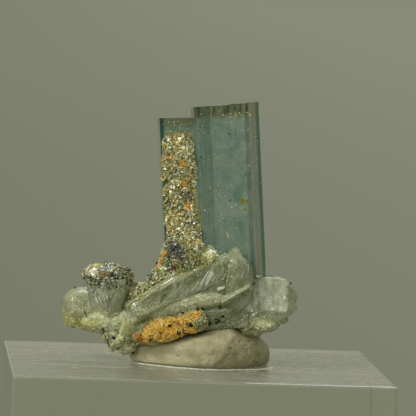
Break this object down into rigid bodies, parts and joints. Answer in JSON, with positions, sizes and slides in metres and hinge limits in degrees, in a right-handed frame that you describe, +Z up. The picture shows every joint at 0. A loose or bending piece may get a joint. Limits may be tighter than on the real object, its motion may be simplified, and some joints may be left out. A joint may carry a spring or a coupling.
{
  "type": "aquamarine with muscovite",
  "caption": "Blue-green hexagonal beryl prisms with a crust of mica flakes, grown on pale hazy crystals and held by putty on a clear square block that rests on a shelf.",
  "frame": {"origin": "middle of the block's underside", "axes": "+Z up, +X to the right as seen from the front, +Y away from the viewer"},
  "size_m": [0.0508, 0.0508, 0.055],
  "materials": {
    "clear_acrylic": "polished, clear",
    "mounting_putty": "matte, pressed by hand",
    "aquamarine": "natural crystal faces, glassy",
    "pale_crystal": "hazy crystal faces and grainy breaks",
    "muscovite": "small pearly flakes",
    "iron_stain": "sugary grains, dull"
  },
  "bodies": {
    "root": {"acrylic_block": "clear_acrylic", "putty": "mounting_putty", "aquamarine": "aquamarine", "pale_crystal_cluster": "pale_crystal", "muscovite_coat": "muscovite", "muscovite_cap": "muscovite", "iron_stained_crust": "iron_stain"}
  },
  "joints": []
}
